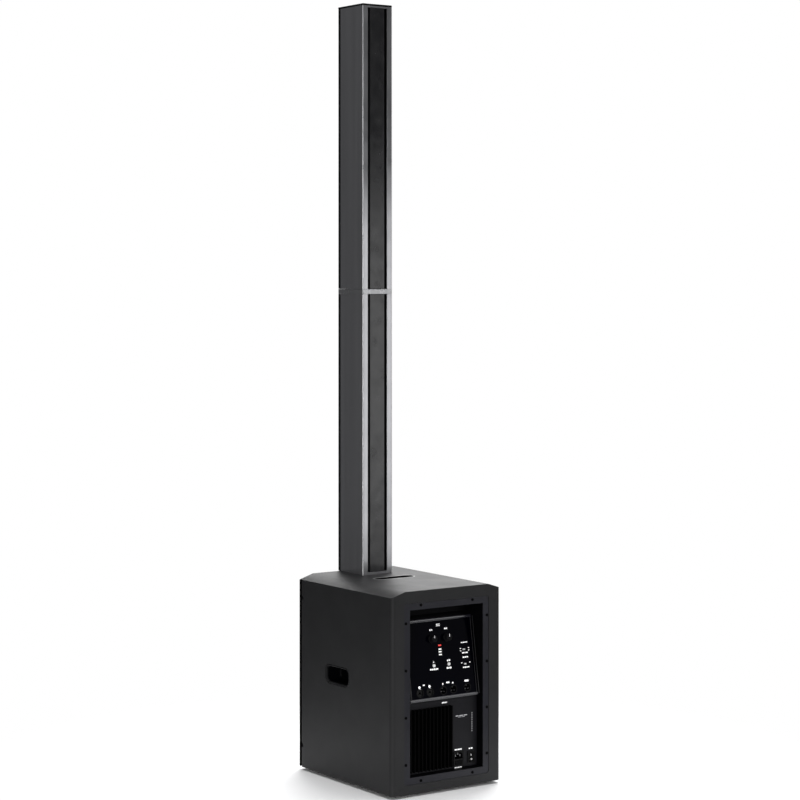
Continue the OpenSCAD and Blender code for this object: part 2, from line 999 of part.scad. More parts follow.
// Mains inlet above a pull-out fuse drawer
module mains_inlet() {
    w = inlet_size[0];
    h = inlet_size[1];
    color([0.07, 0.07, 0.07])
    on_rear(plate_face_y)
        translate([inlet_spot[0], inlet_spot[1], 0])
            difference() {
                union() {
                    translate([0, 0, body_gap])
                        rounded_block(w, h, 2.2, 2);
                    translate([-w / 2 + 2, -h / 2 + 2, -26])
                        cube([w - 4, h - 4, 26.2]);
                }
                translate([-12, -1, -15])
                    linear_extrude(20)
                        polygon([[0, 0], [24, 0], [24, 11], [19, 16], [5, 16], [0, 11]]);
                translate([-11.3, -h / 2 + 3.5, -22])
                    cube([22.6, 11, 30]);
            }
}

module fuse_drawer() {
    color([0.16, 0.16, 0.16])
    on_rear(plate_face_y)
        translate([inlet_spot[0], inlet_spot[1] - inlet_size[1] / 2 + 9, 0])
            difference() {
                union() {
                    translate([-10.9, -5.1, -21])
                        cube([21.8, 10.2, 24]);
                    translate([-10.9, -5.1, 2.6])
                        cube([21.8, 10.2, 1]);
                }
                translate([-9, -3, -19])
                    cube([18, 10, 17]);
                translate([-4, -7, 1.8])
                    cube([8, 3.4, 4]);
            }
}

// The rocker rests with its upper half pressed in
module power_rocker() {
    color([0.08, 0.08, 0.08])
    on_rear(plate_face_y)
        translate([rocker_spot[0], rocker_spot[1], 0])
            rotate([-rocker_tilt, 0, 0])
                rotate([0, 90, 0]) {
                    linear_extrude(14, center = true)
                        polygon([[-3, 0], [-2.2, 10.8], [4, 10.8], [8, 0], [4, -10.8], [-2.2, -10.8]]);
                    cylinder(h = 17.4, r = trunnion_r, center = true);
                }
}

module rocker_housing() {
    w = rocker_size[0];
    h = rocker_size[1];
    color([0.07, 0.07, 0.07])
    on_rear(plate_face_y)
        translate([rocker_spot[0], rocker_spot[1], 0])
            difference() {
                union() {
                    translate([0, 0, body_gap])
                        rounded_block(w, h, 2, 3);
                    translate([-w / 2 + 2, -h / 2 + 2, -24])
                        cube([w - 4, h - 4, 24.2]);
                }
                translate([-7.4, -12, -14])
                    cube([14.8, 24, 20]);
                rotate([0, 90, 0])
                    cylinder(h = 17.8, r = trunnion_r + 0.06, center = true);
            }
}

// ---------- electronics ----------

module input_board() {
    color([0.05, 0.25, 0.12])
    on_panel() {
        translate([-panel_x + 10, 56, -16.2])
            cube([2 * panel_x - 20, panel_len - 75, 1.6]);
        for (i = [0 : 5])
            translate([-78 + 10 * i, 160, -14.6])
                cube([6, 12, 5]);
    }
}

module amp_board() {
    board_y = tray_back_y - 6;
    color([0.05, 0.25, 0.12]) {
        box_between([-96, board_y - 1.6, plate_low_z + 10], [96, board_y, plate_high_z - 4]);
        on_rear(board_y)
            for (i = [0 : 3])
                translate([-80 + 24 * i, plate_high_z - 22, -1])
                    cylinder(h = 24, r = 9, $fn = 48);
        on_rear(board_y)
            for (i = [0 : 2])
                translate([-85 + 40 * i, plate_low_z + 30, -1])
                    cube([26, 22, 14]);
    }
}

module power_transformer() {
    mid_z = (plate_low_z + plate_high_z) / 2;
    color([0.75, 0.55, 0.2])
    on_rear(cover_front_y + cover_t)
        translate([-30, mid_z, body_gap])
            difference() {
                cylinder(h = 40, r = 52);
                translate([0, 0, -1])
                    cylinder(h = 42, r = 14);
            }
}

// ---------- column ----------

// Outline of the aluminium extrusion, seen from above
module column_outline() {
    depth = column_rear_y - shell_front_y;
    x = column_w / 2;
    translate([-x, shell_front_y])
        square([column_w, depth - rail_r]);
    translate([-x + rail_r, shell_front_y])
        square([column_w - 2 * rail_r, depth]);
    for (side = [-1, 1])
        translate([side * (x - rail_r), column_rear_y - rail_r])
            circle(rail_r);
}

module rectangle_between(low, high) {
    translate(low)
        square(high - low);
}

// What is cut off a rail to round its edge on the channel
module lip_cut() {
    difference() {
        translate([-1, -rail_lip_r])
            square([rail_lip_r + 1, rail_lip_r + 1]);
        translate([rail_lip_r, -rail_lip_r])
            circle(rail_lip_r);
    }
}

module shell_section() {
    inner = column_w / 2 - shell_t;
    difference() {
        column_outline();
        rectangle_between([-inner, driver_y], [inner, channel_floor_y - shell_t]);
        rectangle_between([-33, shell_front_y - 1], [33, driver_y + 1]);
        rectangle_between([-channel_w / 2, channel_floor_y], [channel_w / 2, column_rear_y + 1]);
        for (side = [-1, 1]) {
            translate([side * (column_w + channel_w) / 4, column_rear_y - 7.5])
                circle(rail_screw_r, $fn = 24);
            scale([side, 1])
                translate([channel_w / 2, column_rear_y])
                    lip_cut();
        }
    }
}

module shell(z_low, z_high) {
    color([0.32, 0.32, 0.34])
    translate([0, 0, z_low])
        linear_extrude(z_high - z_low)
            shell_section();
}

// A shallow tray that stands in the channel, with a groove on each side
module back_panel(z_low, z_high) {
    half = back_panel_w / 2;
    face_y = column_rear_y - back_panel_sunk;
    color([0.2, 0.2, 0.21])
    difference() {
        box_between([-half, channel_floor_y + body_gap, z_low], [half, face_y, z_high]);
        box_between([-half + back_panel_t, channel_floor_y - 1, z_low - 1],
            [half - back_panel_t, face_y - back_panel_t, z_high + 1]);
    }
}

// A bar of the extrusion's metal that closes the channel at one end
module channel_bar(z_low, z_high) {
    color([0.4, 0.4, 0.42])
    box_between([-channel_w / 2 - 1, channel_floor_y - 1, z_low],
        [channel_w / 2 + 1, column_rear_y - 0.5, z_high]);
}

module folded_grille(z_low, z_high) {
    x = column_w / 2;
    r = 2;
    color([0.04, 0.04, 0.04])
    translate([0, 0, z_low])
        linear_extrude(z_high - z_low)
            difference() {
                union() {
                    rectangle_between([-x, front_y + r], [x, shell_front_y - body_gap]);
                    rectangle_between([-x + r, front_y], [x - r, shell_front_y - body_gap]);
                    for (side = [-1, 1])
                        translate([side * (x - r), front_y + r])
                            circle(r, $fn = 48);
                }
                rectangle_between([-x + 1.2, front_y + 1.2], [x - 1.2, shell_front_y + 1]);
            }
}

// End plate inside the extrusion, with the foot that plugs into the piece below
module column_plug(z) {
    inner = column_w / 2 - shell_t - body_gap;
    color([0.06, 0.06, 0.06]) {
        box_between([-inner, driver_y + body_gap, z],
            [inner, channel_floor_y - shell_t - body_gap, z + end_plate_t]);
        translate([0, spigot_y, z - spigot_len]) {
            difference() {
                rounded_block(spigot_w, spigot_d, spigot_len + 1, 3);
                translate([0, 0, -1])
                    rounded_block(spigot_w - 6, spigot_d - 6, 9, 2);
            }
            for (x = [-15, 0, 15])
                translate([x, 0, 1])
                    cylinder(h = 8, r = 2.5, $fn = 24);
        }
    }
}

// Heights of the driver axes between two ends of a section
function driver_heights(z_low, z_high) =
    [for (i = [0 : drivers_per_section - 1])
        z_low + driver_margin + i * (z_high - z_low - 2 * driver_margin) / (drivers_per_section - 1)];

module driver_frames(heights) {
    color([0.15, 0.15, 0.15])
    for (z = heights)
        on_front(driver_y + body_gap, z)
            difference() {
                union() {
                    translate([0, 0, -driver_plate[2]])
                        rounded_block(driver_plate[0], driver_plate[1], driver_plate[2], 6);
                    rotate_extrude()
                        polygon([
                            [0, -28], [24, -28], [24, -26], [driver_r + 2, -6], [driver_r + 2, -2], [0, -2]
                        ]);
                    translate([0, 0, -44])
                        cylinder(h = 17, r = 26);
                }
                rotate_extrude()
                    polygon([[0, -24], [22, -24], [driver_r, -4.5], [driver_r, 1], [0, 1]]);
                difference() {
                    translate([0, 0, -40])
                        cylinder(h = 20, r = 11);
                    translate([0, 0, -41])
                        cylinder(h = 17, r = 8.4);
                }
            }
}

module driver_cones(heights) {
    color([0.1, 0.1, 0.1])
    for (z = heights)
        on_front(driver_y, z)
            rotate_extrude()
                polygon([
                    [0, -9], [6, -10], [9.2, -12.6], [9.2, -36], [10, -36], [10, -13.5],
                    [24, -3.6], [24, -2.6], [10, -11.8], [6, -8.8], [0, -7.8]
                ]);
}

module driver_surrounds(heights) {
    color([0.05, 0.05, 0.05])
    for (z = heights)
        on_front(driver_y - 0.1, z)
            translate([0, 0, -3.2])
                half_roll(27, 2.6, 0.6);
}

module lower_shell() {
    shell(lower_base_z, collar_low_z);
    channel_bar(lower_base_z, lower_base_z + foot_bar_h);
}

module lower_back_panel() {
    back_panel(lower_base_z + foot_bar_h + body_gap, collar_low_z - body_gap);
}

module lower_grille() {
    folded_grille(lower_base_z + 0.5, collar_low_z - body_gap);
}

module lower_plug() {
    column_plug(lower_base_z);
}

module joint_collar() {
    x = column_w / 2;
    color([0.4, 0.4, 0.42]) {
        difference() {
            union() {
                translate([0, 0, collar_low_z + body_gap])
                    linear_extrude(collar_h - body_gap) {
                        column_outline();
                        rectangle_between([-x, front_y + 1.5], [x, shell_front_y + 1]);
                    }
            }
            translate([0, spigot_y, collar_low_z - 1])
                rounded_block(spigot_w + socket_wall, spigot_d + socket_wall, collar_h + 3, 3);
        }
        plug_cup(collar_top_z);
    }
}

module lower_driver_frames() {
    driver_frames(driver_heights(lower_base_z, collar_low_z - 36));
}

module lower_cones() {
    driver_cones(driver_heights(lower_base_z, collar_low_z - 36));
}

module lower_surrounds() {
    driver_surrounds(driver_heights(lower_base_z, collar_low_z - 36));
}

module upper_shell() {
    shell(upper_base_z, shell_top_z);
    channel_bar(shell_top_z - top_bar_h, shell_top_z);
}

module upper_back_panel() {
    back_panel(upper_base_z + 1, shell_top_z - top_bar_h - body_gap);
}

module upper_grille() {
    folded_grille(upper_base_z + 0.5, shell_top_z - body_gap);
}

module upper_plug() {
    column_plug(upper_base_z);
}

module top_cap() {
    x = column_w / 2;
    inner = x - shell_t - 0.5;
    color([0.07, 0.07, 0.07]) {
        translate([0, 0, shell_top_z + body_gap])
            linear_extrude(cap_h - body_gap) {
                column_outline();
                rectangle_between([-x, front_y], [x, shell_front_y + 1]);
            }
        box_between([-inner, driver_y + 0.5, shell_top_z - 8],
            [inner, channel_floor_y - shell_t - 0.5, shell_top_z + 1]);
    }
}

module upper_driver_frames() {
    driver_frames(driver_heights(upper_base_z, shell_top_z));
}

module upper_cones() {
    driver_cones(driver_heights(upper_base_z, shell_top_z));
}

module upper_surrounds() {
    driver_surrounds(driver_heights(upper_base_z, shell_top_z));
}

cabinet_shell();
front_baffle();
cabinet_brace();
port_tubes();
front_grille();
cabinet_screws();
side_handles();
top_handle();
rubber_feet();
column_socket();
woofer_frame();
woofer_magnet();
woofer_cone();
woofer_dust_cap();
woofer_voice_coil();
woofer_surround();
woofer_spider();
rear_tray();
tray_screws();
amp_cover();
control_panel();
amp_plate();
heat_sink();
level_knob_left();
level_knob_right();
pots();
push_button_left();
push_button_right();
slide_switch_upper();
slide_switch_lower();
switch_housings();
meter_lights();
combo_sockets();
latch_left();
latch_right();
output_sockets();
socket_pins();
mains_inlet();
fuse_drawer();
power_rocker();
rocker_housing();
input_board();
amp_board();
power_transformer();
lower_shell();
lower_back_panel();
lower_grille();
lower_plug();
joint_collar();
lower_driver_frames();
lower_cones();
lower_surrounds();
upper_shell();
upper_back_panel();
upper_grille();
upper_plug();
top_cap();
upper_driver_frames();
upper_cones();
upper_surrounds();
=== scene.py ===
# Looks of the column loudspeaker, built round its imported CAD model.
import json
import math
import random

import bmesh
import bpy
from mathutils import Matrix, Vector


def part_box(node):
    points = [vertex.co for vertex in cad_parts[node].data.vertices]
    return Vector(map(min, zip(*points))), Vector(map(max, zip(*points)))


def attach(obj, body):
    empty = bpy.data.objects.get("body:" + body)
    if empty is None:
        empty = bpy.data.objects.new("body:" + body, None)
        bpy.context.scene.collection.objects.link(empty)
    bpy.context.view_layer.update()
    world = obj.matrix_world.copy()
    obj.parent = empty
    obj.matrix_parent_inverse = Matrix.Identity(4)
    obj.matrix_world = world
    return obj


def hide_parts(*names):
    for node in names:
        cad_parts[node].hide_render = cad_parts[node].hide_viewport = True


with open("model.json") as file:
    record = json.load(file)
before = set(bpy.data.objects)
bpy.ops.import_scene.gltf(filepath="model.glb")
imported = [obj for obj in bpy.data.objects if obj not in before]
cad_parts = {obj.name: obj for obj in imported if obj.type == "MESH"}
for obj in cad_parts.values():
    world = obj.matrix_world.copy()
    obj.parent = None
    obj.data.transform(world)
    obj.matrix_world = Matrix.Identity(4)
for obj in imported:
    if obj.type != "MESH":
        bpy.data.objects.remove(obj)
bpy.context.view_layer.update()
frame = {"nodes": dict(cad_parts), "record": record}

MM = 0.001
NODE_SLOT = {part["node"]: part["material_slot"] for part in frame["record"]["subparts"]}
NODE_BODY = {
    node: body for body, nodes in frame["record"]["behaviour"]["bodies"].items() for node in nodes
}


# ---------- camera, light and floor ----------

CAMERA_DISTANCE = 5.679
CAMERA_HEIGHT = 1.287
PLACE_AZIMUTH = math.radians(145.13)
AIM_AZIMUTH = math.radians(145.09)
LENS = 99.3
HORIZON_SHIFT = -0.1555
FADE_START, FADE_END = 0.38, 1.2


def add_camera():
    """A level camera behind the cabinet, towards its +X side."""
    data = bpy.data.cameras.new("camera")
    data.lens = LENS
    data.shift_y = HORIZON_SHIFT
    data.clip_end = 100
    camera = bpy.data.objects.new("camera", data)
    bpy.context.collection.objects.link(camera)
    camera.location = (
        CAMERA_DISTANCE * math.sin(PLACE_AZIMUTH),
        -CAMERA_DISTANCE * math.cos(PLACE_AZIMUTH),
        CAMERA_HEIGHT,
    )
    camera.rotation_euler = (math.radians(90), 0, AIM_AZIMUTH)
    bpy.context.scene.camera = camera


def add_softbox(name, azimuth, distance, height, size, radiance, aim=(0, 0, 0.9)):
    """An area light: the azimuth is in degrees from +Y towards +X, the radiance in W/m2/sr."""
    data = bpy.data.lights.new(name, "AREA")
    data.shape = "RECTANGLE"
    data.size, data.size_y = size
    data.energy = radiance * math.pi * size[0] * size[1]
    light = bpy.data.objects.new(name, data)
    bpy.context.collection.objects.link(light)
    angle = math.radians(azimuth)
    light.location = (distance * math.sin(angle), distance * math.cos(angle), height)
    direction = Vector(aim) - light.location
    light.rotation_euler = direction.to_track_quat("-Z", "Y").to_euler()
    light.visible_camera = False


def add_world():
    world = bpy.data.worlds.new("studio")
    bpy.context.scene.world = world
    world.use_nodes = True
    background = world.node_tree.nodes["Background"]
    background.inputs["Color"].default_value = (0.97, 0.98, 1.0, 1)
    background.inputs["Strength"].default_value = 0.1
    bpy.context.scene.view_settings.view_transform = "Standard"


def add_floor():
    """A pale floor that fades out into the white backdrop."""
    bm = bmesh.new()
    bmesh.ops.create_circle(bm, cap_ends=True, segments=96, radius=FADE_END)
    mesh = bpy.data.meshes.new("floor")
    bm.to_mesh(mesh)
    bm.free()
    floor = bpy.data.objects.new("floor", mesh)
    bpy.context.collection.objects.link(floor)
    paper = Finish("floor_paper", (0.9, 0.9, 0.9), 0.9, specular=0.2)
    paper.mottle((0.89, 0.89, 0.895), (0.92, 0.92, 0.925), scale=3)
    length = paper.node("ShaderNodeVectorMath")
    length.operation = "LENGTH"
    paper.link(paper.place, length.inputs[0])
    fade = paper.node(
        "ShaderNodeMapRange", From_Min=FADE_START, From_Max=FADE_END, To_Min=1.0, To_Max=0.0)
    fade.interpolation_type = "SMOOTHSTEP"
    paper.link(length.outputs["Value"], fade.inputs["Value"])
    paper.link(fade.outputs["Result"], paper.shader.inputs["Alpha"])
    mesh.materials.append(paper.material)


def add_backdrop():
    """A white dome that only the camera sees, so that it adds no light."""
    bm = bmesh.new()
    bmesh.ops.create_uvsphere(bm, u_segments=32, v_segments=16, radius=40)
    mesh = bpy.data.meshes.new("backdrop")
    bm.to_mesh(mesh)
    bm.free()
    dome = bpy.data.objects.new("backdrop", mesh)
    bpy.context.collection.objects.link(dome)
    white = bpy.data.materials.new("backdrop_white")
    white.use_nodes = True
    shader = white.node_tree.nodes["Principled BSDF"]
    shader.inputs["Base Color"].default_value = (0, 0, 0, 1)
    shader.inputs["Specular IOR Level"].default_value = 0.0
    shader.inputs["Emission Color"].default_value = (1, 1, 1, 1)
    shader.inputs["Emission Strength"].default_value = 1.0
    mesh.materials.append(white)
    dome.visible_diffuse = dome.visible_glossy = dome.visible_transmission = False
    dome.visible_volume_scatter = dome.visible_shadow = False


def add_studio():
    add_world()
    add_floor()
    add_backdrop()
    add_softbox("above", 30, 0.4, 6.2, (5.6, 5.6), 3.6)
    add_softbox("low_behind", -35, 4.0, 0.81, (1.8, 1.62), 2.5, aim=(0, 0, 0.81))
    add_softbox("high_behind", -44, 9.0, 6.0, (4.5, 4.5), 1.6)
    add_softbox("tall_beside_camera", 45, 5.0, 1.0, (1.4, 2.0), 13.0)
    add_softbox("low_in_front", -132, 5.0, 3.0, (5.0, 4.8), 1.9)
    add_softbox("high_in_front", -140, 4.0, 5.0, (4.0, 3.2), 8.0)


# ---------- materials ----------

class Finish:
    """A Principled material, with procedural variation in the object's own coordinates."""

    def __init__(self, name, color, roughness, metallic=0.0, specular=0.5):
        self.material = bpy.data.materials.new(name)
        self.material.use_nodes = True
        self.tree = self.material.node_tree
        self.shader = self.tree.nodes["Principled BSDF"]
        self.place = self.node("ShaderNodeTexCoord").outputs["Object"]
        self.shader.inputs["Base Color"].default_value = (*color, 1)
        self.shader.inputs["Roughness"].default_value = roughness
        self.shader.inputs["Metallic"].default_value = metallic
        self.shader.inputs["Specular IOR Level"].default_value = specular
        self.height = None

    def node(self, kind, **inputs):
        made = self.tree.nodes.new(kind)
        for name, value in inputs.items():
            made.inputs[name.replace("_", " ")].default_value = value
        return made

    def link(self, source, target):
        self.tree.links.new(source, target)

    def stretched(self, stretch):
        mapping = self.node("ShaderNodeMapping", Scale=stretch)
        self.link(self.place, mapping.inputs["Vector"])
        return mapping.outputs["Vector"]

    def noise(self, scale, detail, stretch=(1, 1, 1)):
        texture = self.node("ShaderNodeTexNoise", Scale=scale, Detail=detail)
        self.link(self.stretched(stretch), texture.inputs["Vector"])
        return texture.outputs["Fac"]

    def cells(self, scale):
        texture = self.node("ShaderNodeTexVoronoi", Scale=scale)
        self.link(self.place, texture.inputs["Vector"])
        return texture.outputs["Distance"]

    def mottle(self, dark, light, scale, detail=4.0, stretch=(1, 1, 1)):
        """Base colour that drifts between two close colours."""
        ramp = self.node("ShaderNodeValToRGB")
        self.link(self.noise(scale, detail, stretch), ramp.inputs["Fac"])
        for element, position, color in zip(ramp.color_ramp.elements, (0.35, 0.65), (dark, light)):
            element.position = position
            element.color = (*color, 1)
        self.link(ramp.outputs["Color"], self.shader.inputs["Base Color"])

    def uneven_gloss(self, low, high, scale):
        """Roughness that drifts between two values."""
        span = self.node("ShaderNodeMapRange", From_Min=0.3, From_Max=0.7, To_Min=low, To_Max=high)
        self.link(self.noise(scale, 4.0), span.inputs["Value"])
        self.link(span.outputs["Result"], self.shader.inputs["Roughness"])

    def relief(self, source, depth, strength):
        """Bump of the given depth in metres, on top of any bump made before."""
        bump = self.node("ShaderNodeBump", Distance=depth, Strength=strength)
        self.link(source, bump.inputs["Height"])
        if self.height is not None:
            self.link(self.height, bump.inputs["Normal"])
        self.height = bump.outputs["Normal"]
        self.link(self.height, self.shader.inputs["Normal"])


def shade(color, factor):
    return tuple(channel * factor for channel in color)


def painted_wood(name, color):
    paint = Finish(name, color, 0.5, specular=0.18)
    paint.mottle(shade(color, 0.93), shade(color, 1.08), scale=12)
    paint.uneven_gloss(0.47, 0.54, scale=14)
    paint.relief(paint.cells(620), 0.0001, 0.5)
    paint.relief(paint.noise(1500, 2.0), 0.00005, 0.5)
    return paint.material


def moulding(name, color, roughness=0.55, specular=0.35):
    plastic = Finish(name, color, roughness, specular=specular)
    plastic.mottle(shade(color, 0.88), shade(color, 1.14), scale=22)
    plastic.uneven_gloss(roughness - 0.06, roughness + 0.08, scale=35)
    plastic.relief(plastic.cells(900), 0.00005, 0.6)
    return plastic.material


def gloss_moulding(name, color, roughness=0.2, specular=0.45):
    plastic = Finish(name, color, roughness, specular=specular)
    plastic.mottle(shade(color, 0.92), shade(color, 1.1), scale=30)
    plastic.uneven_gloss(roughness - 0.05, roughness + 0.08, scale=60)
    plastic.relief(plastic.noise(240, 2.0), 0.00003, 0.35)
    return plastic.material


def satin_metal(name, color, roughness, metallic):
    """Drawn or extruded metal with a thin satin coat: fine lines run along +Z."""
    stretch = (1, 1, 0.02)
    metal = Finish(name, color, roughness, metallic=metallic, specular=0.4)
    metal.mottle(shade(color, 0.93), shade(color, 1.08), scale=60, stretch=stretch)
    metal.uneven_gloss(roughness - 0.04, roughness + 0.06, scale=25)
    metal.relief(metal.noise(1400, 2.0, stretch), 0.00002, 0.5)
    return metal.material


def enamel(name, color, roughness=0.45, specular=0.4):
    paint = Finish(name, color, roughness, specular=specular)
    paint.mottle(shade(color, 0.88), shade(color, 1.15), scale=18)
    paint.uneven_gloss(roughness - 0.07, roughness + 0.09, scale=28)
    paint.relief(paint.noise(1100, 3.0), 0.00004, 0.5)
    return paint.material


def plywood(name):
    wood = Finish(name, (0.5, 0.35, 0.2), 0.6)
    wood.mottle((0.42, 0.28, 0.15), (0.6, 0.44, 0.27), scale=12, stretch=(1, 1, 12))
    wood.relief(wood.noise(300, 4.0, (1, 1, 8)), 0.0001, 0.5)
    return wood.material


def circuit_board(name):
    board = Finish(name, (0.02, 0.12, 0.05), 0.4, specular=0.5)
    board.mottle((0.012, 0.08, 0.035), (0.03, 0.16, 0.07), scale=160)
    board.relief(board.cells(260), 0.00008, 0.5)
    return board.material


def winding(name):
    copper = Finish(name, (0.72, 0.36, 0.14), 0.3, metallic=0.9)
    copper.mottle((0.5, 0.22, 0.08), (0.8, 0.42, 0.18), scale=40)
    copper.relief(copper.noise(900, 1.0, (1, 0.05, 1)), 0.0002, 0.8)
    return copper.material


def cone_pulp(name):
    paper = Finish(name, (0.02, 0.02, 0.02), 0.75, specular=0.25)
    paper.mottle((0.014, 0.014, 0.014), (0.032, 0.031, 0.03), scale=260, detail=6)
    paper.relief(paper.noise(700, 5.0), 0.00015, 0.8)
    return paper.material


def woven_cloth(name):
    cloth = Finish(name, (0.62, 0.45, 0.18), 0.8, specular=0.2)
    cloth.mottle((0.5, 0.35, 0.13), (0.7, 0.52, 0.24), scale=120)
    cloth.relief(cloth.cells(1200), 0.0002, 0.8)
    return cloth.material


# An emitting finish: for lamp lenses, and for white print whose glow is painted light.
def glowing(name, color, strength):
    lens = Finish(name, color, 0.3)
    lens.mottle(shade(color, 0.9), shade(color, 1.05), scale=200)
    lens.shader.inputs["Emission Color"].default_value = (*color, 1)
    lens.shader.inputs["Emission Strength"].default_value = strength
    return lens.material


SLOT_LOOKS = {
    "cabinet_finish": painted_wood("cabinet_finish", (0.0175, 0.0175, 0.0184)),
    "baffle_board": painted_wood("baffle_board", (0.012, 0.012, 0.012)),
    "bare_plywood": plywood("bare_plywood"),
    "moulded_black": moulding("moulded_black", (0.006, 0.006, 0.0066), specular=0.2),
    "grille_steel": enamel("grille_steel", (0.003, 0.003, 0.0032), 0.5, 0.1),
    "black_steel": enamel("black_steel", (0.0008, 0.0008, 0.0009), 0.5, 0.03),
    "rubber": moulding("rubber", (0.012, 0.012, 0.012), 0.8, specular=0.25),
    "driver_steel": enamel("driver_steel", (0.02, 0.02, 0.021), 0.4),
    "magnet": enamel("magnet", (0.05, 0.05, 0.055), 0.6),
    "cone_paper": cone_pulp("cone_paper"),
    "copper": winding("copper"),
    "spider_cloth": woven_cloth("spider_cloth"),
    "tray_plastic": moulding("tray_plastic", (0.0062, 0.0062, 0.0105), 0.35, specular=0.28),
    "bare_steel": satin_metal("bare_steel", (0.56, 0.56, 0.58), 0.35, 1.0),
    "gloss_panel": gloss_moulding("gloss_panel", (0.0003, 0.0003, 0.0016), 0.1, specular=0.01),
    "amp_plate_paint": enamel("amp_plate_paint", (0.006, 0.006, 0.0078), 0.42, 0.14),
    "black_anodised": enamel("black_anodised", (0.0006, 0.0006, 0.0007), 0.5, 0.03),
    "knob_plastic": moulding("knob_plastic", (0.004, 0.004, 0.0048), 0.5, specular=0.08),
    "button_white": gloss_moulding("button_white", (0.8, 0.8, 0.8), 0.3),
    "light_lens": glowing("light_lens", (0.8, 0.1, 0.05), 0.6),
    "socket_plastic": gloss_moulding("socket_plastic", (0.0015, 0.0015, 0.0018), 0.3, specular=0.1),
    "latch_metal": satin_metal("latch_metal", (0.4, 0.4, 0.42), 0.35, 1.0),
    "pin_metal": satin_metal("pin_metal", (0.16, 0.16, 0.165), 0.3, 1.0),
    "drawer_plastic": moulding("drawer_plastic", (0.0015, 0.0015, 0.0017), 0.45, specular=0.05),
    "rocker_plastic": gloss_moulding("rocker_plastic", (0.0012, 0.0012, 0.0013), 0.35, specular=0.06),
    "circuit_board": circuit_board("circuit_board"),
    "column_aluminium": satin_metal("column_aluminium", (0.24, 0.24, 0.25), 0.16, 0.72),
    "back_panel_plastic": moulding("back_panel_plastic", (0.01, 0.01, 0.011), 0.2, specular=0.38),
    "collar_aluminium": satin_metal("collar_aluminium", (0.26, 0.262, 0.27), 0.25, 0.75),
    "cap_aluminium": enamel("cap_aluminium", (0.0015, 0.0015, 0.0016), 0.5, 0.05),
}
# Painted highlight: a lighter, glossier copy of the panel finish on the panel's raised beads.
BEAD_HIGHLIGHT_LOOK = gloss_moulding("panel_bead", (0.014, 0.014, 0.019), 0.2, specular=0.7)
# Painted highlight: grey strips along the panel's side edges.
EDGE_STRIP_HIGHLIGHT_LOOK = moulding("painted_edge_highlight", (0.03, 0.03, 0.032), 0.5)
# Painted shade: a darker copy of the moulding for the tray's recess and the side handles' hollows.
RECESS_SHADE_LOOK = moulding("painted_recess_shade", (0.0012, 0.0012, 0.0016), 0.45, specular=0.04)
# Painted shade: a near-black copy for the columns' rear groove and the top handle's hollow; it also
# darkens the columns' front lips.
GROOVE_SHADE_LOOK = moulding("painted_groove_shade", (0.002, 0.002, 0.002), 0.6, specular=0.08)
# Painted highlight: a lighter copy of the column metal on the columns' rounded rear corners.
CORNER_HIGHLIGHT_LOOK = satin_metal("painted_corner_highlight", (0.52, 0.52, 0.53), 0.3, 0.5)
# Painted highlight: a light grey finish on the top handle's raised rim.
RIM_HIGHLIGHT_LOOK = enamel("painted_rim_highlight", (0.13, 0.13, 0.132), 0.4, 0.5)
# White print that also glows a little: the glow is painted light.
WHITE_INK_WITH_PAINTED_GLOW = glowing("white_ink_painted_glow", (0.92, 0.92, 0.92), 0.35)
GREY_INK = enamel("grey_ink", (0.5, 0.5, 0.52), 0.5)


# ---------- mesh helpers ----------

def finish_mesh(name, bm, material, smooth=35):
    """Makes an object from a bmesh, smooth where faces meet below the given angle in degrees."""
    bmesh.ops.recalc_face_normals(bm, faces=bm.faces)
    mesh = bpy.data.meshes.new(name)
    for face in bm.faces:
        face.smooth = True
    for edge in bm.edges:
        sharp = len(edge.link_faces) == 2 and edge.calc_face_angle(0) > math.radians(smooth)
        edge.smooth = not sharp
    bm.to_mesh(mesh)
    bm.free()
    mesh.materials.append(material)
    made = bpy.data.objects.new(name, mesh)
    bpy.context.collection.objects.link(made)
    flatten = made.modifiers.new("weighted_normals", "WEIGHTED_NORMAL")
    flatten.keep_sharp = True
    return made


def stand_for(piece, node):
    """The piece takes a CAD node's place and body, and the node is hidden."""
    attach(piece, NODE_BODY[node])
    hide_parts(node)
    return piece


def accent(piece, look, where):
    """A second finish on the faces where(centre, normal) is true, both in world coordinates."""
    piece.data.materials.append(look)
    slot = len(piece.data.materials) - 1
    for face in piece.data.polygons:
        if where(face.center, face.normal):
            face.material_index = slot


def refined(node, width, cut_y=None):
    """A copy of a CAD node with its crisp edges rounded over, and its faces parted at cut_y."""
    crisp = math.radians(40)
    bm = bmesh.new()
    bm.from_mesh(frame["nodes"][node].data)
    bmesh.ops.remove_doubles(bm, verts=bm.verts, dist=0.000002)
    bmesh.ops.dissolve_limit(bm, angle_limit=math.radians(0.4), verts=bm.verts, edges=bm.edges)
    edges = [
        edge for edge in bm.edges
        if len(edge.link_faces) == 2 and edge.calc_face_angle(0) > crisp
    ]
    bmesh.ops.bevel(
        bm, geom=edges, offset=width, offset_type="OFFSET", segments=2, profile=0.5,
        affect="EDGES", clamp_overlap=True,
    )
    if cut_y is not None:
        everything = list(bm.verts) + list(bm.edges) + list(bm.faces)
        bmesh.ops.bisect_plane(bm, geom=everything, plane_co=(0, cut_y, 0), plane_no=(0, 1, 0))
    piece = finish_mesh(node + "_refined", bm, SLOT_LOOKS[NODE_SLOT[node]], 30)
    return stand_for(piece, node)


def rounded_rectangle(width, height, radius, steps=6):
    """Points round a rectangle with rounded corners, anticlockwise."""
    points = []
    radius = max(radius, 0.00005)
    for quarter in range(4):
        sign_x = 1 if quarter in (0, 3) else -1
        sign_y = 1 if quarter in (0, 1) else -1
        centre = (sign_x * (width / 2 - radius), sign_y * (height / 2 - radius))
        for step in range(steps + 1):
            angle = math.radians(90 * quarter + 90 * step / steps)
            points.append((centre[0] + radius * math.cos(angle), centre[1] + radius * math.sin(angle)))
    return points


